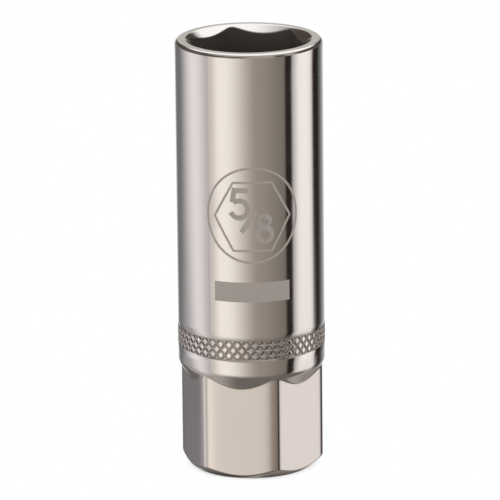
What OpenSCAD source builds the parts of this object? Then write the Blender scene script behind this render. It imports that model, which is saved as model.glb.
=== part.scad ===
// Spark plug socket: a chrome-plated six-point deep socket with a rubber grip sleeve in its bore.
// It stands on its drive end with the plug opening up. The origin is on the axis, at the drive face.
// One flat of the drive-end hexagon and one side of the drive square face -Y.

/* [Barrel] */
// Length from the drive face to the rim
socket_length = 65.05; // [60:0.05:80]
// Steel left outside the corners of the plug hexagon
corner_wall = 1.86; // [1.2:0.01:2.5]
// Radius of the rounded outer edge at the rim
rim_rounding = 0.65; // [0.2:0.05:0.8]

/* [Plug opening] */
// Plug hexagon across its flats
plug_hex_af = 16; // [15:0.05:18]
// Rounding of the corners of the plug hexagon
plug_hex_rounding = 1.2; // [0.5:0.1:3]
// Depth of the plug hexagon below the rim
plug_hex_depth = 19; // [12:0.5:24]
// Turn of the plug hexagon from the drive-end hexagon
plug_hex_turn = -2.5; // [-30:0.5:30]
// Width of the lead-in cone outside the hexagon's corners
lead_in_margin = 0.31; // [0.1:0.01:0.8]
// Slope of the lead-in cone from the plane of the rim
lead_in_slope = 39; // [15:1:45]
// How far the wall of the round bore below lies inside the hexagon's flats
bore_step = 0.25; // [0.1:0.05:1]
// Slope of the cone between the hexagon and the bore, from the axis
bore_entry_slope = 45; // [30:1:60]

/* [Knurled band] */
// Height of the band
knurl_height = 2.8; // [1.5:0.05:6]
// Grooves each way round the band
knurl_count = 52; // [36:1:60]
// Lean of the grooves from the axis
knurl_lean = 38.5; // [25:0.5:45]
// Depth of a groove at its middle
knurl_depth = 0.28; // [0.1:0.01:0.32]
// Angle between the two sides of a groove
knurl_v_angle = 90; // [70:1:100]
// Height of the rolled ridges above the barrel
knurl_raise = 0.05; // [0.01:0.01:0.15]

/* [Drive end] */
// Height of the shoulder's upper edge above the drive face
shoulder_z = 16.05; // [12:0.05:22]
// Slope of the shoulder's cone from the axis
shoulder_slope = 33; // [20:1:45]
// Rounding of the shoulder's upper edge
shoulder_rounding = 2; // [0.2:0.1:2.4]
// Plain collar between the shoulder's edge and the knurled band
collar_height = 2.8; // [1:0.1:8]
// Drive-end hexagon across its flats
drive_hex_af = 19.15; // [18.5:0.05:19.5]
// Rounding of the corners of that hexagon
drive_hex_rounding = 2.7; // [1:0.1:4]
// Width of the turned chamfer at the foot, from the corners inward
foot_chamfer = 1.68; // [0.8:0.02:2.4]
// Slope of that chamfer from the drive face
foot_slope = 41; // [30:1:60]
// Drive square across its sides
drive_square = 9.6; // [9.5:0.05:10]
// Depth of the drive square, from the drive face to the floor of the bore
drive_depth = 11.5; // [9:0.1:14]
// Width of the chamfer round the mouth of the square
drive_mouth_chamfer = 1.5; // [0.5:0.1:1.9]
// Height of the middle of the detent groove above the drive face
detent_z = 5.6; // [4:0.1:7]
// Width of the detent groove
detent_width = 2.6; // [1.5:0.1:4]
// Depth of the detent groove into the sides of the square
detent_depth = 0.55; // [0.2:0.05:1]

/* [Rubber insert] */
// Length of the sleeve
insert_length = 22; // [14:0.5:30]
// Bore that grips the plug's insulator
grip_d = 9.8; // [9:0.1:11]
// Width of the sleeve's lead-in cone at its mouth
mouth_width = 1.9; // [1:0.1:2.4]
// Depth of that cone
mouth_depth = 3; // [1.5:0.1:5]
// Chamfer on the sleeve's outer edges
insert_chamfer = 0.6; // [0.3:0.1:1]
// Room between the sleeve and the bore
insert_clearance = 0.05; // [0.02:0.01:0.2]

/* [Hidden] */
$fn = 96;
// How far a cutting tool runs past the surface that it opens
overrun = 1;

// A corner's arc is larger by this share than one that only touches the flats, so that it crosses them
arc_excess = 0.004;

// Where the middle of a rounded corner's arc lies, and how far the corner reaches, from the axis
function arc_middle(across_flats, rounding) = (across_flats / 2 - rounding) / cos(30);
function hex_reach(across_flats, rounding) =
    arc_middle(across_flats, rounding) + rounding * (1 + arc_excess);

plug_corner_r = hex_reach(plug_hex_af, plug_hex_rounding);
lead_in_r = plug_corner_r + lead_in_margin;
barrel_r = plug_corner_r + corner_wall;
bore_r = plug_hex_af / 2 - bore_step;
plug_hex_z = socket_length - plug_hex_depth;

knurl_z = shoulder_z + collar_height;
knurl_top_z = knurl_z + knurl_height;
knurl_r = barrel_r + knurl_raise;
groove_floor_r = knurl_r - knurl_depth;
groove_open_r = knurl_r + overrun;
groove_half_w = (groove_open_r - groove_floor_r) * tan(knurl_v_angle / 2);
groove_length = knurl_height / cos(knurl_lean) + 2 * groove_half_w * tan(knurl_lean);

hex_corner_r = hex_reach(drive_hex_af, drive_hex_rounding);
foot_r = hex_corner_r - foot_chamfer;
foot_over_r = hex_corner_r + overrun;
// Height of the middle of the arc that rounds the shoulder's edge
shoulder_arc_z = shoulder_z + shoulder_rounding * tan(shoulder_slope / 2);
// The shoulder's cone runs on to this radius, inside the flats of the hexagon
shoulder_end_r = drive_hex_af / 2 - overrun;
shoulder_end_z = shoulder_z - (barrel_r - shoulder_end_r) / tan(shoulder_slope);

drive_half = drive_square / 2;
insert_r = bore_r - insert_clearance;
grip_r = grip_d / 2;

// Six-sided outline with rounded corners and two flats facing -Y and +Y, given across its flats
module rounded_hexagon(across_flats, rounding) {
    arc_at = arc_middle(across_flats, rounding);
    intersection() {
        circle(r = across_flats / 2 / cos(30), $fn = 6);
        for (i = [0 : 5]) {
            rotate(60 * i)
                translate([arc_at, 0])
                    circle(r = rounding * (1 + arc_excess));
            rotate(60 * i + 30)
                translate([0, -arc_at / 2])
                    square([across_flats / 2 + overrun, arc_at]);
        }
    }
}

// Turned barrel above the knurled band, with the rounded edge at the rim
module upper_barrel() {
    rotate_extrude() {
        translate([0, knurl_top_z])
            square([barrel_r, socket_length - rim_rounding - knurl_top_z]);
        translate([0, socket_length - rim_rounding])
            square([barrel_r - rim_rounding, rim_rounding]);
        intersection() {
            translate([barrel_r - rim_rounding, socket_length - rim_rounding])
                circle(r = rim_rounding);
            translate([barrel_r - rim_rounding, socket_length - rim_rounding])
                square(rim_rounding);
        }
    }
}

// Plain collar under the knurled band and the cone that runs down into the hexagon from a rounded edge
module collar_and_shoulder() {
    rotate_extrude()
        intersection() {
            polygon([
                [0, shoulder_end_z],
                [shoulder_end_r, shoulder_end_z],
                [barrel_r, shoulder_z],
                [barrel_r, knurl_z],
                [0, knurl_z],
            ]);
            union() {
                translate([0, shoulder_arc_z])
                    square([barrel_r + overrun, knurl_z + overrun - shoulder_arc_z]);
                translate([barrel_r - shoulder_rounding, shoulder_arc_z]) {
                    circle(r = shoulder_rounding * (1 + arc_excess));
                    rotate(-shoulder_slope)
                        translate([-barrel_r, -shoulder_z])
                            square([barrel_r + shoulder_rounding + overrun, shoulder_z]);
                }
            }
        }
}

// One straight groove across the knurled band, at the +X side
module knurl_groove(lean) {
    translate([0, 0, knurl_z + knurl_height / 2])
        rotate([lean, 0, 0])
            linear_extrude(groove_length, center = true)
                polygon([
                    [groove_floor_r, 0],
                    [groove_open_r, groove_half_w],
                    [groove_open_r, -groove_half_w],
                ]);
}

// Disc of the knurled band, crossed by grooves that lean both ways
module knurl_band() {
    difference() {
        translate([0, 0, knurl_z])
            cylinder(r = knurl_r, h = knurl_height);
        for (i = [0 : knurl_count - 1], lean = [-knurl_lean, knurl_lean])
            rotate(360 / knurl_count * i)
                knurl_groove(lean);
    }
}

// Drive-end hexagon with rounded corners and a turned chamfer at its foot
module drive_hexagon() {
    intersection() {
        linear_extrude(shoulder_z)
            rounded_hexagon(drive_hex_af, drive_hex_rounding);
        rotate_extrude()
            polygon([
                [0, 0],
                [foot_r, 0],
                [foot_over_r, (foot_over_r - foot_r) * tan(foot_slope)],
                [foot_over_r, shoulder_z],
                [0, shoulder_z],
            ]);
    }
}

// Plug hexagon with its lead-in cone, and the round bore below it
module plug_opening() {
    lead_in_depth = lead_in_r * tan(lead_in_slope);
    lead_in_over_r = lead_in_r + overrun / tan(lead_in_slope);
    bore_entry_depth = (plug_corner_r - bore_r) / tan(bore_entry_slope);
    rotate([0, 0, plug_hex_turn])
        intersection() {
            translate([0, 0, plug_hex_z - bore_entry_depth])
                linear_extrude(plug_hex_depth + bore_entry_depth + overrun)
                    rounded_hexagon(plug_hex_af, plug_hex_rounding);
            rotate_extrude()
                polygon([
                    [0, plug_hex_z - bore_entry_depth],
                    [bore_r, plug_hex_z - bore_entry_depth],
                    [plug_corner_r + overrun, plug_hex_z + overrun / tan(bore_entry_slope)],
                    [plug_corner_r + overrun, socket_length + overrun],
                    [0, socket_length + overrun],
                ]);
        }
    translate([0, 0, socket_length - lead_in_depth])
        cylinder(r1 = 0, r2 = lead_in_over_r, h = lead_in_depth + overrun);
    translate([0, 0, drive_depth])
        cylinder(r = bore_r, h = plug_hex_z - drive_depth);
}

// Square drive hole with its mouth chamfer and detent groove
module drive_opening() {
    translate([-drive_half, -drive_half, -overrun])
        cube([drive_square, drive_square, drive_depth + 2 * overrun]);
    translate([0, 0, -overrun])
        cylinder(
            r1 = drive_half + drive_mouth_chamfer + overrun,
            r2 = drive_half - overrun,
            h = drive_mouth_chamfer + 2 * overrun
        );
    translate([0, 0, detent_z - detent_width / 2])
        cylinder(r = drive_half + detent_depth, h = detent_width);
}

// Forged, turned and broached steel body
module socket_body() {
    color("#c9c2bc")
        difference() {
            union() {
                drive_hexagon();
                collar_and_shoulder();
                knurl_band();
                upper_barrel();
            }
            plug_opening();
            drive_opening();
        }
}

// Rubber sleeve that stands on the floor of the bore and grips the plug's insulator
module rubber_insert() {
    insert_top_z = drive_depth + insert_length;
    color("#1b1a1a")
        rotate_extrude()
            polygon([
                [grip_r, drive_depth],
                [insert_r - insert_chamfer, drive_depth],
                [insert_r, drive_depth + insert_chamfer],
                [insert_r, insert_top_z - insert_chamfer],
                [insert_r - insert_chamfer, insert_top_z],
                [grip_r + mouth_width, insert_top_z],
                [grip_r, insert_top_z - mouth_depth],
            ]);
}

socket_body();
rubber_insert();
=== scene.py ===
"""Looks of the spark plug socket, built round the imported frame. Sizes are in millimetres until MM."""

import math

import bpy
import numpy as np
from mathutils import Matrix, Vector


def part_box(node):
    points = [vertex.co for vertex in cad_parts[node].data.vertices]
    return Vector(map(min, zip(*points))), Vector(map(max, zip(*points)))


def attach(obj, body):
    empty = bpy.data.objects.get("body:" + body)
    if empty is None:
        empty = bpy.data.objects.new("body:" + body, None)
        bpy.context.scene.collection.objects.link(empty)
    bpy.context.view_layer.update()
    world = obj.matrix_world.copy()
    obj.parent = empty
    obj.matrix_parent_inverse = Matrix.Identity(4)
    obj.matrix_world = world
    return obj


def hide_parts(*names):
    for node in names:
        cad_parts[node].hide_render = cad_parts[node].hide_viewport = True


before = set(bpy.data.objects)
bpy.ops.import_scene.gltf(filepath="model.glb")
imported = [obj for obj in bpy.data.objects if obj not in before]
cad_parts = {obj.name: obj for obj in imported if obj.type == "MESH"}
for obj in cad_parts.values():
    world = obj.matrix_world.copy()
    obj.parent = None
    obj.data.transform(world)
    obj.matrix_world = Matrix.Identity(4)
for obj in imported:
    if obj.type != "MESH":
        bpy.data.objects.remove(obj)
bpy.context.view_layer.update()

MM = 0.001


def hexagon_reach(flat, rounding):
    """How far the rounded corners of a hexagon lie from its middle, with the flats at a given distance."""
    return (flat - rounding) / math.cos(math.radians(30)) + rounding


# Barrel, rim and plug opening
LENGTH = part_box("socket_body")[1].z / MM
PLUG_FLAT = 8.0
PLUG_ROUNDING = 1.2
PLUG_CORNER = hexagon_reach(PLUG_FLAT, PLUG_ROUNDING)
PLUG_TURN = math.radians(-2.5)
PLUG_HEX_Z = LENGTH - 19
BARREL = PLUG_CORNER + 1.86
RIM_ROUNDING = 0.65
LEAD_IN = PLUG_CORNER + 0.31
LEAD_IN_DEGREES = 39
LEAD_IN_EDGE = 0.2
BORE = PLUG_FLAT - 0.25
BORE_ENTRY = PLUG_CORNER - BORE

# Shoulder
SHOULDER_Z = 16.05
SHOULDER_LEAN = math.radians(33)
SHOULDER_ROUNDING = 2.0
SHOULDER_EDGE = SHOULDER_ROUNDING * math.tan(SHOULDER_LEAN / 2)

# Knurled band. Its grooves are drawn a little shallower than in the solids, which widens the crests.
KNURL_Z = SHOULDER_Z + 2.8
KNURL_HEIGHT = 2.8
KNURL_TOP = KNURL_Z + KNURL_HEIGHT
KNURL_COUNT = 52
KNURL_LEAN = math.tan(math.radians(38.5))
KNURL_CREST = BARREL + 0.05
KNURL_DEPTH = 0.21
KNURL_SEAT = BARREL - 0.4
KNURL_INSIDE = KNURL_SEAT - 0.3
SEAT_EDGE = 0.06

# Drive end, whose foot chamfer lies below a limit
DRIVE_FLAT = 19.15 / 2
DRIVE_ROUNDING = 2.7
FOOT = hexagon_reach(DRIVE_FLAT, DRIVE_ROUNDING) - 1.68
FOOT_DEGREES = 49
FOOT_EDGE = 0.3
FOOT_LIMIT = 3
DRIVE_HALF = 4.8
DRIVE_DEPTH = 11.5
DRIVE_MOUTH = DRIVE_HALF + 1.5
DETENT = DRIVE_HALF + 0.55
DETENT_Z = 5.6
DETENT_HALF = 1.3

# How sharply the sides of the hexagons and the square turn into each other
DRIVE_SHARPNESS = 18.5
PLUG_SHARPNESS = 22
DRIVE_SQUARE_SHARPNESS = 45

# How far the blank and the cutters blend at worn edges, and the knurl's grooves at crests and crossings
FOOT_SOFTNESS = 0.25
SHOULDER_SOFTNESS = 0.22
EDGE_SOFTNESS = 0.12
CREST_SOFTNESS = 0.06
CROSSING_SOFTNESS = 0.04

# Angles in degrees from which an edge is drawn sharp
SKIN_SHARP = 50
KNURL_SHARP = 60
MARK_SHARP = 30

# How finely the skins are drawn round the axis, and a radius that stands for no limit
SKIN_COLUMNS = 540
KNURL_COLUMNS = KNURL_COUNT * 18
OPEN = 100.0

# How far single loops of the skin lie from an edge: beside any sharp edge, on the barrel beside the knurl,
# on the bore's floor, on the drive face, at the mouth's edge, and beside, in and on the ledges of the
# detent groove
NEAR = 0.1
BESIDE_KNURL = 1
ON_FLOOR = 0.5
ON_FACE = 0.15
MOUTH_EDGE = 0.03
BESIDE_DETENT = 0.6
IN_DETENT = 0.3
DETENT_LEDGE = 0.02

# Heights of the other loops: the first, the last and about how far apart they lie
FOOT_LOOPS = (0.2, 2.2, 0.1)
HEXAGON_LOOPS = (3.2, 12.2, 2.25)
SHOULDER_LOOPS = (13, SHOULDER_Z + SHOULDER_EDGE, 0.1)
KNURL_LOOPS = (KNURL_Z, KNURL_TOP, 0.08)
BARREL_LOOPS = (KNURL_TOP + 6, LENGTH - 3, 6)
LEAD_IN_LOOPS = (LENGTH - 0.12, LENGTH - 1.4, 0.06)
PLUG_LOOPS = (LENGTH - 3, PLUG_HEX_Z + 1, 5)
ENTRY_LOOPS = (PLUG_HEX_Z + 0.2, PLUG_HEX_Z - BORE_ENTRY - 0.2, 0.12)
BORE_LOOPS = (PLUG_HEX_Z - BORE_ENTRY - 2, DRIVE_DEPTH + NEAR, 10)
MOUTH_LOOPS = (2.0, NEAR, 0.1)

# Cutters that square up a turned blank
DRIVE_HEXAGON, PLUG_HEXAGON, DRIVE_SQUARE = range(3)

# What each point of the skin and of the knurl carries, and of what kind it is
SKIN_VALUES = {
    "angle": "FLOAT", "z": "FLOAT", "lathe": "FLOAT", "blank": "FLOAT", "soft": "FLOAT", "cut": "INT",
    "inside": "INT",
}
KNURL_VALUES = {"angle": "FLOAT", "z": "FLOAT", "lathe": "FLOAT", "cut": "FLOAT"}

# Socket numbers of a Mix node for colours and of a Compare node for whole numbers, which share their names
# with sockets for other kinds
MIX_SHARE, MIX_FIRST, MIX_SECOND, MIXED = 0, 6, 7, 2
WHOLE_FIRST, WHOLE_SECOND = 2, 3


def linear(code):
    """Turns an sRGB hex colour such as #9e978c to a linear RGBA colour."""
    parts = [int(code[i:i + 2], 16) / 255 for i in (1, 3, 5)]
    return [c / 12.92 if c <= 0.04045 else ((c + 0.055) / 1.055) ** 2.4 for c in parts] + [1.0]


def feed(tree, node, values):
    """Links or sets inputs of a node, each by its number or name."""
    for key, value in values.items():
        if isinstance(value, bpy.types.NodeSocket):
            tree.links.new(value, node.inputs[key])
        else:
            node.inputs[key].default_value = value


def add(tree, kind, *sources, inputs=None, **settings):
    """Adds one node, applies its settings, feeds its inputs, and gives its first output."""
    node = tree.nodes.new(kind)
    for name, value in settings.items():
        setattr(node, name, value)
    feed(tree, node, {**dict(enumerate(sources)), **(inputs or {})})
    return node.outputs[0] if node.outputs else node


# Materials

# Sizes of the patterns: the gap between polishing lines and their length, patches of the plating, the
# grain that a marking laser leaves, and the grain of a rubber mould. Real polishing lines are about 0.02 mm
# apart, and are drawn wider so that they show.
POLISH_GAP = 0.15
POLISH_LENGTH = 50 / 3
PLATING_PATCH = 5
LASER_GRAIN = 0.12
RUBBER_GRAIN = 0.4

# Height over which the painted shade on the chrome at the foot clears
FOOT_SHADE_HEIGHT = 1.4

# The parts of a place that give its height and its radius
HEIGHT_PARTS = (0, 0, 1)
RADIUS_PARTS = (1, 1, 0)


def new_material(name):
    """Starts a material and gives it with its tree and its Principled shader."""
    material = bpy.data.materials.new(name)
    material.use_nodes = True
    return material, material.node_tree, material.node_tree.nodes["Principled BSDF"]


def polished_chrome(name, colour, roughness, spread, metallic=1.0, painted_shade=None):
    """Decorative chrome on turned steel: a mirror with faint polishing lines round the axis. Its last
    argument paints shade on it, darker where its height or radius is low: it gives the parts of a place
    that count, where the chrome is darkest and where it is clear, and the dark colour."""
    material, tree, shader = new_material(name)
    feed(tree, shader, {"Base Color": linear(colour), "Metallic": metallic})
    place = add(tree, "ShaderNodeTexCoord").node.outputs["Object"]
    # Painted shade: the base colour is mixed towards a dark colour where the chosen height or radius is
    # low.
    if painted_shade:
        parts, low, high, dark = painted_shade
        along = add(tree, "ShaderNodeVectorMath", place, parts, operation="MULTIPLY")
        where = add(tree, "ShaderNodeVectorMath", along, operation="LENGTH").node.outputs["Value"]
        clear = add(tree, "ShaderNodeMapRange", where, low * MM, high * MM, 0.0, 1.0)
        tint = add(tree, "ShaderNodeMix", data_type="RGBA", inputs={
            MIX_SHARE: clear, MIX_FIRST: linear(dark), MIX_SECOND: linear(colour)}).node.outputs[MIXED]
        feed(tree, shader, {"Base Color": tint})
    # Polishing lines lie round the axis, so the pattern is long across X and Y and fine along Z.
    across = 1 / (POLISH_LENGTH * MM)
    lines = add(tree, "ShaderNodeMapping", place, inputs={"Scale": (across, across, 1 / (POLISH_GAP * MM))})
    grain = add(tree, "ShaderNodeTexNoise", inputs={"Vector": lines, "Scale": 1.0, "Detail": 2.0})
    # The plating is a little uneven in patches.
    patches = add(tree, "ShaderNodeTexNoise", inputs={"Vector": place, "Scale": 1 / (PLATING_PATCH * MM)})
    mixed = add(tree, "ShaderNodeMath", grain, patches, operation="ADD")
    rough = add(tree, "ShaderNodeMapRange", mixed, 0.6, 1.4, roughness - spread, roughness + spread)
    bump = add(tree, "ShaderNodeBump", inputs={"Height": grain, "Strength": 0.05, "Distance": 0.01 * MM})
    feed(tree, shader, {"Roughness": rough, "Normal": bump})
    return material


def etched_chrome():
    """Chrome burnt by a marking laser: a matte warm grey oxide with a fine sandy grain."""
    material, tree, shader = new_material("laser_etched_chrome")
    place = add(tree, "ShaderNodeTexCoord").node.outputs["Object"]
    sand = add(tree, "ShaderNodeTexNoise", inputs={
        "Vector": place, "Scale": 1 / (LASER_GRAIN * MM), "Detail": 3.0})
    tint = add(tree, "ShaderNodeValToRGB", sand)
    dark, light = tint.node.color_ramp.elements
    dark.position, light.position = 0.3, 0.7
    dark.color, light.color = linear("#9a9189"), linear("#b0a79f")
    bump = add(tree, "ShaderNodeBump", inputs={"Height": sand, "Strength": 0.3, "Distance": 0.01 * MM})
    feed(tree, shader, {"Base Color": tint, "Metallic": 0.2, "Roughness": 0.6, "Normal": bump})
    return material


def moulded_rubber():
    """Black nitrile rubber from a mould: matte, with a fine uneven skin and a little bloom."""
    material, tree, shader = new_material("moulded_black_rubber")
    place = add(tree, "ShaderNodeTexCoord").node.outputs["Object"]
    skin = add(tree, "ShaderNodeTexNoise", inputs={
        "Vector": place, "Scale": 1 / (RUBBER_GRAIN * MM), "Detail": 4.0})
    tint = add(tree, "ShaderNodeValToRGB", skin)
    dark, light = tint.node.color_ramp.elements
    dark.color, light.color = linear("#151414"), linear("#2a2827")
    rough = add(tree, "ShaderNodeMapRange", skin, 0.3, 0.7, 0.6, 0.8)
    bump = add(tree, "ShaderNodeBump", inputs={"Height": skin, "Strength": 0.4, "Distance": 0.03 * MM})
    feed(tree, shader, {"Base Color": tint, "Roughness": rough, "Normal": bump})
    return material


# The turned barrel was buffed before plating, so it is the clearest mirror.
CHROME = polished_chrome("polished_chrome_plate", "#faf6f3", roughness=0.1, spread=0.03)
# The forged flats were buffed less, so they mirror more softly.
FLAT_CHROME = polished_chrome("chrome_on_forged_flats", "#f1eae5", roughness=0.14, spread=0.04)
# The rolled knurl can't be buffed, and its chrome is painted darker towards the groove bottoms as painted
# shade.
KNURL_CHROME = polished_chrome(
    "chrome_on_knurl_with_painted_groove_shade", "#faf6f3", roughness=0.13, spread=0.04,
    painted_shade=(RADIUS_PARTS, KNURL_CREST - KNURL_DEPTH, KNURL_CREST, "#bfb8b4"))
# The chrome at the foot's edge is painted dark towards the bench as painted shade, and clears above it.
FOOT_CHROME = polished_chrome(
    "chrome_at_foot_with_painted_shade", "#f4efea", roughness=0.16, spread=0.04,
    painted_shade=(HEIGHT_PARTS, 0, FOOT_SHADE_HEIGHT, "#55504d"))
# Plating hardly reaches into the bore, so it is a dull dark grey.
BORE_CHROME = polished_chrome("thin_chrome_in_bore", "#958d86", roughness=0.32, spread=0.06, metallic=0.85)
ETCHED = etched_chrome()
RUBBER = moulded_rubber()


# Pieces made by Geometry Nodes


def new_tree(name, sizes, carried=None):
    """Starts a Geometry Nodes tree with named sizes. Gives it with its inputs by name, and with the values
    that the points of its sheet carry."""
    tree = bpy.data.node_groups.new(name, "GeometryNodeTree")
    face = tree.interface
    face.new_socket("Geometry", in_out="INPUT", socket_type="NodeSocketGeometry")
    face.new_socket("Geometry", in_out="OUTPUT", socket_type="NodeSocketGeometry")
    for size in sizes:
        face.new_socket(size, in_out="INPUT", socket_type="NodeSocketFloat")
    source = add(tree, "NodeGroupInput").node
    given = {socket.name: socket for socket in source.outputs if socket.name}
    for value, kind in (carried or {}).items():
        given[value] = add(tree, "GeometryNodeInputNamedAttribute", value, data_type=kind)
    return tree, given


def finish_tree(tree, geometry, materials):
    """Ends a tree: instances become real, and each material goes on the faces that its field picks."""
    geometry = add(tree, "GeometryNodeRealizeInstances", geometry)
    for material, picked in materials:
        picks = {} if picked is None else {"Selection": picked}
        geometry = add(tree, "GeometryNodeSetMaterial", geometry, inputs={**picks, "Material": material})
    add(tree, "NodeGroupOutput", geometry)


def grown(name, source, tree, sharp, sizes):
    """Runs a tree on a mesh or curve with the given sizes, and gives the result as a plain mesh object that
    is smooth up to a sharp angle."""
    maker = bpy.data.objects.new(name + "_maker", source)
    bpy.context.scene.collection.objects.link(maker)
    modifier = maker.modifiers.new("maker", "NODES")
    modifier.node_group = tree
    for item in tree.interface.items_tree:
        if item.in_out == "INPUT" and item.name in sizes:
            modifier[item.identifier] = float(sizes[item.name])
    graph = bpy.context.evaluated_depsgraph_get()
    made = bpy.data.meshes.new_from_object(maker.evaluated_get(graph), depsgraph=graph)
    made.name = name
    bpy.data.objects.remove(maker)
    piece = bpy.data.objects.new(name, made)
    bpy.context.scene.collection.objects.link(piece)
    made.polygons.foreach_set("use_smooth", np.ones(len(made.polygons), bool))
    made.set_sharp_from_angle(angle=math.radians(sharp))
    return piece


def polar_place(tree, angle, radius, height):
    """A point at an angle, radius and height round the axis."""
    sides = []
    for wave in ("COSINE", "SINE"):
        share = add(tree, "ShaderNodeMath", angle, operation=wave)
        sides.append(add(tree, "ShaderNodeMath", radius, share, operation="MULTIPLY"))
    return add(tree, "ShaderNodeCombineXYZ", *sides, height)


def ring_sheet(name, columns, stations, kinds):
    """A closed sheet round the axis: one loop of points for each station, in order along the section. Each
    point carries its angle and its station's values."""
    rows = len(stations)
    ring, row = np.meshgrid(np.arange(columns), np.arange(rows))
    ring, row = ring.ravel(), row.ravel()
    ahead, above = (ring + 1) % columns, (row + 1) % rows
    corners = [row * columns + ring, row * columns + ahead, above * columns + ahead, above * columns + ring]
    mesh = bpy.data.meshes.new(name)
    points = np.column_stack([ring, row, np.zeros(len(ring))])
    mesh.from_pydata(points.tolist(), [], np.column_stack(corners).tolist())
    carried = {"angle": ring * 2 * math.pi / columns}
    for key in stations[0]:
        carried[key] = np.array([station[key] for station in stations])[row]
    for key, kind in kinds.items():
        layer = mesh.attributes.new(key, kind, "POINT")
        layer.data.foreach_set("value", carried[key].astype(np.int32 if kind == "INT" else np.float32))
    return mesh


def skin_station(z, lathe, blank, cut, soft, inside):
    """One loop of the skin, in metres: its height, the turned radius, the blank that is cut, the cutter,
    how far edges blend, and whether it lies in the openings."""
    return {
        "z": z * MM, "lathe": lathe * MM, "blank": blank * MM, "cut": cut, "soft": soft * MM,
        "inside": int(inside),
    }


def steps(low, high, pitch):
    """Places from low to high, both included, about pitch apart."""
    return np.linspace(low, high, max(2, round(abs(high - low) / pitch) + 1))


def arc(x, y, radius, start, end, count):
    """Points on an arc round (x, y), by angle in degrees."""
    return [
        (x + radius * math.cos(a), y + radius * math.sin(a))
        for a in np.radians(np.linspace(start, end, count))
    ]


def shoulder_radius(z):
    """The turned outside at a height: the barrel, the rounded edge under it, then the shoulder's cone."""
    top = SHOULDER_Z + SHOULDER_EDGE
    if z >= top:
        return BARREL
    if z > SHOULDER_Z - SHOULDER_EDGE * math.cos(SHOULDER_LEAN):
        return BARREL - SHOULDER_ROUNDING + math.sqrt(SHOULDER_ROUNDING ** 2 - (top - z) ** 2)
    return BARREL - (SHOULDER_Z - z) * math.tan(SHOULDER_LEAN)


def outside_stations():
    """From the drive face up the drive-end hexagon, the shoulder, the collar and the barrel to the rim."""
    found = []
    reach = FOOT_EDGE * math.tan(math.radians(90 - FOOT_DEGREES) / 2)
    for r in (DRIVE_MOUTH + ON_FACE, (DRIVE_MOUTH + FOOT) / 2):
        found.append((0, 0, r, FOOT_SOFTNESS))
    for r, z in arc(FOOT - reach, FOOT_EDGE, FOOT_EDGE, -90, -FOOT_DEGREES, 5):
        found.append((z, 0, r, FOOT_SOFTNESS))
    for z in steps(*FOOT_LOOPS):
        found.append((z, 0, FOOT + z * math.tan(math.radians(FOOT_DEGREES)), FOOT_SOFTNESS))
    for z in [*steps(*HEXAGON_LOOPS), *steps(*SHOULDER_LOOPS)]:
        found.append((z, shoulder_radius(z), OPEN if z < SHOULDER_Z else 0, SHOULDER_SOFTNESS))
    # The seat of the knurled band, with a small rounded edge above and below it
    third = SEAT_EDGE / 3
    for r, z in [
        (BARREL, KNURL_Z - BESIDE_KNURL),
        (BARREL, KNURL_Z - SEAT_EDGE),
        (BARREL - third, KNURL_Z - third),
        (BARREL - SEAT_EDGE, KNURL_Z),
        (KNURL_SEAT, KNURL_Z),
        (KNURL_SEAT, KNURL_TOP),
        (BARREL - SEAT_EDGE, KNURL_TOP),
        (BARREL - third, KNURL_TOP + third),
        (BARREL, KNURL_TOP + SEAT_EDGE),
        (BARREL, KNURL_TOP + BESIDE_KNURL),
    ]:
        found.append((z, r, 0, 0))
    for z in steps(*BARREL_LOOPS):
        found.append((z, BARREL, 0, 0))
    for r, z in arc(BARREL - RIM_ROUNDING, LENGTH - RIM_ROUNDING, RIM_ROUNDING, 0, 90, 10):
        found.append((z, r, 0, 0))
    found.append((LENGTH, LEAD_IN + LEAD_IN_EDGE, 0, 0))
    return [skin_station(z, lathe, blank, DRIVE_HEXAGON, soft, False) for z, lathe, blank, soft in found]


def opening_stations():
    """From the rim down the lead-in cone, the plug hexagon and the bore to the bore's floor."""
    found = []
    reach = LEAD_IN_EDGE * math.tan(math.radians(LEAD_IN_DEGREES) / 2)
    for r, z in arc(LEAD_IN + reach, LENGTH - LEAD_IN_EDGE, LEAD_IN_EDGE, 90, 90 + LEAD_IN_DEGREES, 4):
        found.append((z, r, 0))
    slope = math.tan(math.radians(LEAD_IN_DEGREES))
    for z in steps(*LEAD_IN_LOOPS):
        found.append((z, LEAD_IN - (LENGTH - z) / slope, OPEN))
    for z in steps(*PLUG_LOOPS):
        found.append((z, 0, OPEN))
    for z in steps(*ENTRY_LOOPS):
        found.append((z, BORE, PLUG_CORNER + z - PLUG_HEX_Z))
    for z in steps(*BORE_LOOPS):
        found.append((z, BORE, 0))
    for r in (BORE, BORE - NEAR, BORE - ON_FLOOR):
        found.append((DRIVE_DEPTH, r, 0))
    return [skin_station(z, lathe, blank, PLUG_HEXAGON, EDGE_SOFTNESS, True) for z, lathe, blank in found]


def drive_stations():
    """From the bore's floor down the drive square, its detent groove and its mouth to the drive face."""
    found = [(DRIVE_DEPTH, 0), (DRIVE_DEPTH - NEAR, 0)]
    low, high = DETENT_Z - DETENT_HALF, DETENT_Z + DETENT_HALF
    for z in (high + BESIDE_DETENT, high + DETENT_LEDGE):
        found.append((z, 0))
    for z in (high, high - IN_DETENT, low + IN_DETENT, low):
        found.append((z, DETENT))
    for z in (low - DETENT_LEDGE, low - BESIDE_DETENT):
        found.append((z, 0))
    for z in steps(*MOUTH_LOOPS):
        found.append((z, DRIVE_MOUTH - z))
    found.append((0, DRIVE_MOUTH + MOUTH_EDGE))
    return [skin_station(z, lathe, OPEN, DRIVE_SQUARE, EDGE_SOFTNESS, z > 0) for z, lathe in found]


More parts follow.
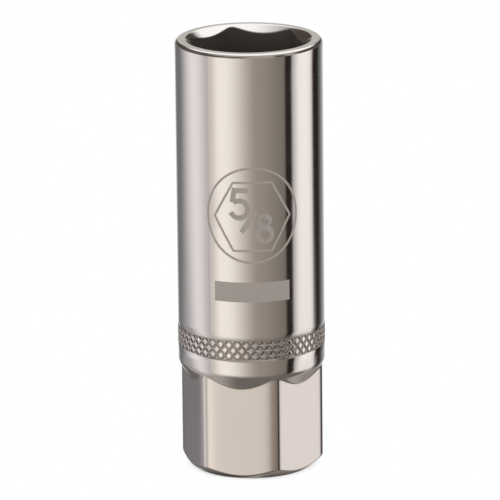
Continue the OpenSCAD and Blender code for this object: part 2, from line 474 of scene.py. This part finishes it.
def polygon_radius(tree, angle, flat, sharpness, half, lead):
    """How far a polygon reaches at an angle, where polishing has blended each side into the next."""
    off = add(tree, "ShaderNodeMath", angle, lead, operation="SUBTRACT")
    low = add(tree, "ShaderNodeMath", half, -1.0, operation="MULTIPLY")
    off = add(tree, "ShaderNodeMath", off, half, low, operation="WRAP")
    near = add(tree, "ShaderNodeMath", off, operation="ABSOLUTE")
    far = add(tree, "ShaderNodeMath", half, 2.0, operation="MULTIPLY")
    far = add(tree, "ShaderNodeMath", far, near, operation="SUBTRACT")
    shares = []
    for turn in (near, far):
        lean = add(tree, "ShaderNodeMath", turn, operation="COSINE")
        shares.append(add(tree, "ShaderNodeMath", lean, sharpness, operation="POWER"))
    both = add(tree, "ShaderNodeMath", *shares, operation="ADD")
    root = add(tree, "ShaderNodeMath", -1.0, sharpness, operation="DIVIDE")
    reach = add(tree, "ShaderNodeMath", both, root, operation="POWER")
    return add(tree, "ShaderNodeMath", flat, reach, operation="MULTIPLY")


def socket_skin():
    """The steel body: a turned blank whose ends are squared up by two hexagons and a square."""
    tree, given = new_tree("turned_and_broached_body", [
        "Drive hexagon flat", "Drive hexagon sharpness", "Plug hexagon flat", "Plug hexagon sharpness",
        "Plug hexagon turn", "Drive square flat", "Drive square sharpness",
    ], SKIN_VALUES)
    angle, lathe, blank, soft = given["angle"], given["lathe"], given["blank"], given["soft"]
    sixth, quarter, flat_lead = math.radians(60), math.radians(90), math.radians(30)
    plug_lead = add(tree, "ShaderNodeMath", given["Plug hexagon turn"], flat_lead, operation="ADD")
    picks = []
    cutters = ("Drive hexagon", "Plug hexagon", "Drive square")
    for values in (
        [given[cutter + " flat"] for cutter in cutters],
        [given[cutter + " sharpness"] for cutter in cutters],
        [sixth / 2, sixth / 2, quarter / 2],
        [flat_lead, plug_lead, 0.0],
    ):
        # The switch starts with two items and gets a third. Its first input picks one of them.
        switch = add(tree, "GeometryNodeIndexSwitch", given["cut"], data_type="FLOAT").node
        switch.index_switch_items.new()
        feed(tree, switch, dict(enumerate(values, start=1)))
        picks.append(switch.outputs[0])
    sides = polygon_radius(tree, angle, *picks)
    cut_blank = add(tree, "ShaderNodeMath", sides, blank, soft, operation="SMOOTH_MIN")
    radius = add(tree, "ShaderNodeMath", cut_blank, lathe, soft, operation="SMOOTH_MAX")
    place = polar_place(tree, angle, radius, given["z"])
    shape = add(tree, "GeometryNodeSetPosition", given["Geometry"], inputs={"Position": place})
    # The plating is thin in the openings, except on the turned cones at their mouths.
    inside = add(tree, "FunctionNodeCompare", data_type="INT", operation="EQUAL", inputs={
        WHOLE_FIRST: given["inside"], WHOLE_SECOND: 1})
    broached = add(tree, "FunctionNodeCompare", sides, lathe, operation="GREATER_THAN")
    thin = add(tree, "FunctionNodeBooleanMath", inside, broached, operation="AND")
    # The flats of the drive end are forged and less polished than the turned barrel.
    outside = add(tree, "FunctionNodeBooleanMath", inside, operation="NOT")
    on_blank = add(tree, "FunctionNodeCompare", blank, sides, operation="GREATER_THAN")
    forged = add(tree, "FunctionNodeBooleanMath", on_blank, broached, operation="AND")
    forged = add(tree, "FunctionNodeBooleanMath", forged, outside, operation="AND")
    # The chamfer at the foot is turned through the hexagon, and its chrome gets painted shade towards the
    # bench.
    on_chamfer = add(tree, "FunctionNodeCompare", sides, blank, operation="GREATER_THAN")
    low = add(tree, "FunctionNodeCompare", given["z"], FOOT_LIMIT * MM, operation="LESS_THAN")
    chamfer = add(tree, "FunctionNodeBooleanMath", on_chamfer, low, operation="AND")
    chamfer = add(tree, "FunctionNodeBooleanMath", chamfer, outside, operation="AND")
    finish_tree(tree, shape, [
        (CHROME, None), (BORE_CHROME, thin), (FLAT_CHROME, forged), (FOOT_CHROME, chamfer),
    ])
    stations = outside_stations() + opening_stations() + drive_stations()
    sheet = ring_sheet("body_sheet", SKIN_COLUMNS, stations, SKIN_VALUES)
    return grown("chromed_socket_skin", sheet, tree, SKIN_SHARP, {
        "Drive hexagon flat": DRIVE_FLAT * MM,
        "Drive hexagon sharpness": DRIVE_SHARPNESS,
        "Plug hexagon flat": PLUG_FLAT * MM,
        "Plug hexagon sharpness": PLUG_SHARPNESS,
        "Plug hexagon turn": PLUG_TURN,
        "Drive square flat": DRIVE_HALF * MM,
        "Drive square sharpness": DRIVE_SQUARE_SHARPNESS,
    })


def knurl_ring():
    """The rolled band: two sets of leaning grooves that leave rows of small diamonds."""
    tree, given = new_tree("diamond_knurl", ["Grooves", "Lean", "Middle", "Pitch", "Depth"], KNURL_VALUES)
    turn = add(tree, "ShaderNodeMath", given["Grooves"], 2 * math.pi, operation="DIVIDE")
    along = add(tree, "ShaderNodeMath", given["angle"], turn, operation="MULTIPLY")
    rise = add(tree, "ShaderNodeMath", given["z"], given["Middle"], operation="SUBTRACT")
    shift = add(tree, "ShaderNodeMath", rise, given["Lean"], operation="MULTIPLY")
    grooves = []
    for way in ("ADD", "SUBTRACT"):
        across = add(tree, "ShaderNodeMath", along, shift, operation=way)
        off = add(tree, "ShaderNodeMath", across, 0.5, operation="PINGPONG")
        far = add(tree, "ShaderNodeMath", off, given["Pitch"], operation="MULTIPLY")
        depth = add(tree, "ShaderNodeMath", given["Depth"], far, operation="SUBTRACT")
        grooves.append(add(tree, "ShaderNodeMath", depth, 0.0, CREST_SOFTNESS * MM, operation="SMOOTH_MAX"))
    deepest = add(tree, "ShaderNodeMath", *grooves, CROSSING_SOFTNESS * MM, operation="SMOOTH_MAX")
    cut = add(tree, "ShaderNodeMath", deepest, given["cut"], operation="MULTIPLY")
    radius = add(tree, "ShaderNodeMath", given["lathe"], cut, operation="SUBTRACT")
    place = polar_place(tree, given["angle"], radius, given["z"])
    shape = add(tree, "GeometryNodeSetPosition", given["Geometry"], inputs={"Position": place})
    finish_tree(tree, shape, [(KNURL_CHROME, None)])
    stations = [{"z": z * MM, "lathe": KNURL_CREST * MM, "cut": 1.0} for z in steps(*KNURL_LOOPS)]
    stations += [{"z": z * MM, "lathe": KNURL_INSIDE * MM, "cut": 0.0} for z in (KNURL_TOP, KNURL_Z)]
    sheet = ring_sheet("knurl_sheet", KNURL_COLUMNS, stations, KNURL_VALUES)
    girth = 2 * math.pi * BARREL * MM
    return grown("knurled_band", sheet, tree, KNURL_SHARP, {
        "Grooves": KNURL_COUNT,
        "Lean": KNURL_LEAN * KNURL_COUNT / girth,
        "Middle": (KNURL_Z + KNURL_HEIGHT / 2) * MM,
        "Pitch": girth / KNURL_COUNT * math.cos(math.atan(KNURL_LEAN)),
        "Depth": KNURL_DEPTH * MM,
    })


# Marks etched on the barrel. Places are (along the barrel's girth, up) from the middle of a mark.

MARK_ANGLE = math.radians(-77.5)
MARK_Z = 40.87
PLATE_ANGLE = math.radians(-78.2)
PLATE_Z = 29.2
PLATE_LENGTH = 11.5
PLATE_HEIGHT = 3.0
RING_RADIUS = 7.15
HEXAGON_RADIUS = 5.95
HEXAGON_RISE = -0.2
GIRTH_SHARE = 0.965
FINE_STROKE = 0.34
FIGURE_STROKE = 0.76
MARK_THICKNESS = 0.06
MARK_PROUD = 0.02
PATH_LIFT = 0.003
PATH_CUTS = 8

# Paths of a 5, a slash and an 8 by their middle lines, and whether each path is closed
FIGURE_PATHS = [
    ([(-0.6, 3.8), (-2.75, 3.8)], False),
    ([(-2.62, 4.18), (-3.0, 2.0)], False),
    (arc(-1.95, 0.95, 1.3, 132, -160, 24), False),
    ([(-1.65, -2.5), (0.47, 0.5)], False),
    (arc(1.8, -0.85, 0.74, 0, 360, 32)[:-1], True),
    (arc(1.8, -2.9, 1.04, 0, 360, 32)[:-1], True),
]
# The ring and hexagon come out a little narrow round the girth.
OUTLINE_PATHS = [
    ([(GIRTH_SHARE * x, y) for x, y in arc(0, 0, RING_RADIUS, 0, 360, 96)[:-1]], True),
    ([(GIRTH_SHARE * x, y) for x, y in arc(0, HEXAGON_RISE, HEXAGON_RADIUS, 0, 360, 7)[:-1]], True),
]
PLATE_PATHS = [([(x, 0) for x in steps(-PLATE_LENGTH / 2, PLATE_LENGTH / 2, 1)], False)]


def stroke_tree():
    """Strokes of one width along flat paths, bent round the barrel and sunk a little into it."""
    tree, given = new_tree("etched_strokes", [
        "Stroke width", "Thickness", "Proud", "Barrel radius", "Middle angle", "Middle height",
    ])
    fine = add(tree, "GeometryNodeSubdivideCurve", given["Geometry"], PATH_CUTS)
    fine = add(tree, "GeometryNodeSetCurveNormal", fine, mode="Z_UP")
    section = add(
        tree, "GeometryNodeCurvePrimitiveQuadrilateral", given["Stroke width"], given["Thickness"])
    flat = add(tree, "GeometryNodeCurveToMesh", fine, section, inputs={"Fill Caps": True})
    where = add(tree, "ShaderNodeSeparateXYZ", add(tree, "GeometryNodeInputPosition")).node.outputs
    turn = add(tree, "ShaderNodeMath", where["X"], given["Barrel radius"], operation="DIVIDE")
    angle = add(tree, "ShaderNodeMath", turn, given["Middle angle"], operation="ADD")
    height = add(tree, "ShaderNodeMath", where["Y"], given["Middle height"], operation="ADD")
    half = add(tree, "ShaderNodeMath", given["Thickness"], 2.0, operation="DIVIDE")
    lift = add(tree, "ShaderNodeMath", given["Proud"], half, operation="SUBTRACT")
    lift = add(tree, "ShaderNodeMath", lift, where["Z"], operation="ADD")
    radius = add(tree, "ShaderNodeMath", given["Barrel radius"], lift, operation="ADD")
    place = polar_place(tree, angle, radius, height)
    bent = add(tree, "GeometryNodeSetPosition", flat, inputs={"Position": place})
    finish_tree(tree, bent, [(ETCHED, None)])
    return tree


def etched_mark(name, tree, paths, stroke, angle, z):
    """One etched mark: its paths as flat lines in metres, each a little above the last where they cross."""
    curve = bpy.data.curves.new(name + "_paths", "CURVE")
    curve.dimensions = "3D"
    for i, (points, closed) in enumerate(paths):
        line = curve.splines.new("POLY")
        line.points.add(len(points) - 1)
        line.use_cyclic_u = closed
        for point, (x, y) in zip(line.points, points):
            point.co = (x * MM, y * MM, i * PATH_LIFT * MM, 1)
    return grown(name, curve, tree, MARK_SHARP, {
        "Stroke width": stroke * MM,
        "Thickness": MARK_THICKNESS * MM,
        "Proud": MARK_PROUD * MM,
        "Barrel radius": BARREL * MM,
        "Middle angle": angle,
        "Middle height": z * MM,
    })


skin = socket_skin()
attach(skin, "root")
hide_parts("socket_body")

knurl = knurl_ring()
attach(knurl, "root")

strokes = stroke_tree()
for name, paths, stroke, angle, z in (
    ("size_ring_and_hexagon", OUTLINE_PATHS, FINE_STROKE, MARK_ANGLE, MARK_Z),
    ("size_figures", FIGURE_PATHS, FIGURE_STROKE, MARK_ANGLE, MARK_Z),
    ("bare_etched_plate", PLATE_PATHS, PLATE_HEIGHT, PLATE_ANGLE, PLATE_Z),
):
    mark = etched_mark(name, strokes, paths, stroke, angle, z)
    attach(mark, "root")

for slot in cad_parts["rubber_insert"].material_slots:
    slot.material = RUBBER


# Camera, floor and studio

CAMERA_AZIMUTH = math.radians(10.9)
CAMERA_ELEVATION = math.radians(15.255)
CAMERA_DISTANCE = 864.5
CAMERA_ROLL = math.radians(-0.583)
CAMERA_TARGET_Z = 32.72
CAMERA_ASIDE = -0.107
CAMERA_LENS = 419.0
CAMERA_SENSOR = 36
CAMERA_NEAREST = 10

# The paper floor's side, and the distances from the axis between which its shadow fades to plain white
FLOOR_SIDE = 4000
SHADOW_FADE = (6, 10.8)


def photo_camera():
    """The photograph's view: a long lens a little above the socket, rolled by half a degree."""
    az, el = CAMERA_AZIMUTH, CAMERA_ELEVATION
    back = Vector((math.sin(az) * math.cos(el), -math.cos(az) * math.cos(el), math.sin(el)))
    right = Vector((math.cos(az), math.sin(az), 0))
    up = back.cross(right)
    turned_right = right * math.cos(CAMERA_ROLL) + up * math.sin(CAMERA_ROLL)
    turned_up = up * math.cos(CAMERA_ROLL) - right * math.sin(CAMERA_ROLL)
    data = bpy.data.cameras.new("photo_camera")
    data.lens = CAMERA_LENS
    data.sensor_width = CAMERA_SENSOR
    data.clip_start = CAMERA_NEAREST * MM
    camera = bpy.data.objects.new("photo_camera", data)
    bpy.context.scene.collection.objects.link(camera)
    turn = Matrix((turned_right, turned_up, back)).transposed()
    place = Vector((0, 0, CAMERA_TARGET_Z)) + right * CAMERA_ASIDE + back * CAMERA_DISTANCE
    camera.matrix_world = Matrix.Translation(place * MM) @ turn.to_4x4()
    bpy.context.scene.camera = camera


# Paper, softboxes and flags round the socket. Each is (left edge, its softness, right edge, its softness,
# colour), with azimuths in degrees from the camera, positive to the right, and a later one covers an
# earlier one.
STUDIO_CARDS = [
    (162, 44, 200, 1, "#f6f3f1"),
    (-200, 1, -166, 24, "#f6f3f1"),
    (-119, 44, -66, 4, "#e5dfe1"),
    (-77, 36, -66, 4, "#a8a4a6"),
    (-66, 4, 60, 4, "#958c85"),
    (36, 56, 58, 5, "#736d65"),
    (-66, 4, -14, 56, "#f2ece5"),
    (-66, 4, -57, 20, "#c6beb8"),
    (74, 28, 116, 30, "#f4efec"),
    (57, 4, 69.5, 4, "#26201d"),
    (116, 8, 139, 18, "#281f1d"),
]
STUDIO_ROOM = "#707174"

# What the chrome mirrors above the cards, and then below them: the sine of the elevation where it starts
# and is full, its colour, and the azimuths that it spans, as for the cards
ROOM_AND_FLOOR = [
    (0.0, 0.12, "#b9b7b2", (-200, 1, 200, 1)),
    (0.0, 0.12, "#47413d", (-168, 12, 168, 12)),
    (0.0, 0.12, "#5a534e", (-130, 20, 60, 20)),
    (0.0, 0.12, "#a29a93", (-52, 24, 82, 20)),
    (0.0, 0.12, "#453f3a", (42, 12, 61, 10)),
    (0.28, 0.38, "#262220", (-80, 20, -6, 20)),
    (0.58, 0.68, "#a29a93", (-84, 20, 130, 20)),
    (-0.25, -0.3, "#e6e2e0", (81, 16, 116, 30)),
    (-0.25, -0.3, "#979395", (-140, 20, -102, 40)),
    (-0.42, -0.75, "#a09a95", (-166, 12, -30, 40)),
    (-0.42, -0.62, "#67605b", (45, 16, 118, 20)),
    (-0.42, -0.62, "#a09a95", (112, 20, 170, 10)),
    (-0.32, -0.44, "#686463", (-168, 16, -133, 14)),
    (-0.42, -0.62, "#8a8480", (132, 14, 170, 10)),
    (-0.45, -0.8, "#6b6560", (-48, 40, 50, 20)),
    (-0.68, -0.96, "#6b6560", (-62, 40, 104, 14)),
    (-0.9, -0.97, "#6b6560", (-200, 1, 200, 1)),
]

# The ceiling's panel: the sine of the elevation where it starts and is full, and its colour. It hangs lower
# behind the socket, by a share of the way there.
CEILING = (0.9, 0.98, "#ffffff")
CEILING_SIDE = CAMERA_AZIMUTH + math.radians(170)
CEILING_HANG = 0.55


def spanned(tree, azimuth, left, left_soft, right, right_soft):
    """1 between two azimuths and 0 outside them, with soft edges. All are in degrees."""
    edges = []
    for edge, soft, before, after in ((left, left_soft, 0.0, 1.0), (right, right_soft, 1.0, 0.0)):
        start, end = math.radians(edge - soft / 2), math.radians(edge + soft / 2)
        edges.append(add(tree, "ShaderNodeMapRange", azimuth, start, end, before, after,
                         interpolation_type="SMOOTHSTEP"))
    return add(tree, "ShaderNodeMath", *edges, operation="MULTIPLY")


def studio_world():
    """White for the camera, plain white light on matte surfaces, and softboxes for the chrome to mirror."""
    world = bpy.data.worlds.new("studio")
    bpy.context.scene.world = world
    world.use_nodes = True
    tree = world.node_tree
    tree.nodes.clear()
    way = add(tree, "ShaderNodeTexCoord").node.outputs["Generated"]
    split = add(tree, "ShaderNodeSeparateXYZ", way).node.outputs
    ahead = add(tree, "ShaderNodeMath", split["Y"], -1.0, operation="MULTIPLY")
    azimuth = add(tree, "ShaderNodeMath", split["X"], ahead, operation="ARCTAN2")
    azimuth = add(tree, "ShaderNodeMath", azimuth, CAMERA_AZIMUTH, operation="SUBTRACT")
    azimuth = add(tree, "ShaderNodeMath", azimuth, math.pi, -math.pi, operation="WRAP")
    layers = [(spanned(tree, azimuth, *span), tone) for *span, tone in STUDIO_CARDS]
    for low, high, tone, span in ROOM_AND_FLOOR:
        part = add(tree, "ShaderNodeMapRange", split["Z"], low, high, 0.0, 1.0)
        shown = add(tree, "ShaderNodeMath", part, spanned(tree, azimuth, *span), operation="MULTIPLY")
        layers.append((shown, tone))
    low, high, tone = CEILING
    hang = Vector((math.sin(CEILING_SIDE), -math.cos(CEILING_SIDE), 0)) * CEILING_HANG + Vector((0, 0, 1))
    above = add(tree, "ShaderNodeVectorMath", way, hang, operation="DOT_PRODUCT").node.outputs["Value"]
    layers.append((add(tree, "ShaderNodeMapRange", above, low, high, 0.0, 1.0), tone))
    colour = linear(STUDIO_ROOM)
    for shown, tone in layers:
        colour = add(tree, "ShaderNodeMix", data_type="RGBA", inputs={
            MIX_SHARE: shown, MIX_FIRST: colour, MIX_SECOND: linear(tone)}).node.outputs[MIXED]
    rays = add(tree, "ShaderNodeLightPath").node.outputs
    white, glossy = linear("#ffffff"), rays["Is Glossy Ray"]
    mirrored = add(tree, "ShaderNodeMix", data_type="RGBA", inputs={
        MIX_SHARE: glossy, MIX_FIRST: white, MIX_SECOND: colour}).node.outputs[MIXED]
    light = add(tree, "ShaderNodeBackground", mirrored, 1.0)
    add(tree, "ShaderNodeOutputWorld", light)


def studio_floor():
    """Matt white paper that keeps the socket's soft shadow and runs out to plain white."""
    bpy.ops.mesh.primitive_plane_add(size=FLOOR_SIDE * MM)
    floor = bpy.context.object
    floor.name = "paper_floor"
    material, tree, shader = new_material("matt_white_paper")
    feed(tree, shader, {"Base Color": linear("#fdfdfd"), "Roughness": 0.9, "Specular IOR Level": 0.0})
    floor.data.materials.append(material)
    place = add(tree, "ShaderNodeTexCoord").node.outputs["Object"]
    far = add(tree, "ShaderNodeVectorMath", place, operation="LENGTH").node.outputs["Value"]
    clear, white = (distance * MM for distance in SHADOW_FADE)
    fade = add(tree, "ShaderNodeMapRange", far, clear, white, 0.0, 1.0, interpolation_type="SMOOTHSTEP")
    rays = add(tree, "ShaderNodeLightPath").node.outputs
    shown = add(tree, "ShaderNodeMath", fade, rays["Is Camera Ray"], operation="MULTIPLY")
    glow = add(tree, "ShaderNodeEmission", linear("#ffffff"), 1.0)
    mixed = add(tree, "ShaderNodeMixShader", shown, shader.outputs[0], glow)
    feed(tree, tree.nodes["Material Output"], {"Surface": mixed})
    floor.visible_glossy = False


photo_camera()
studio_world()
studio_floor()
bpy.context.scene.view_settings.view_transform = "Standard"
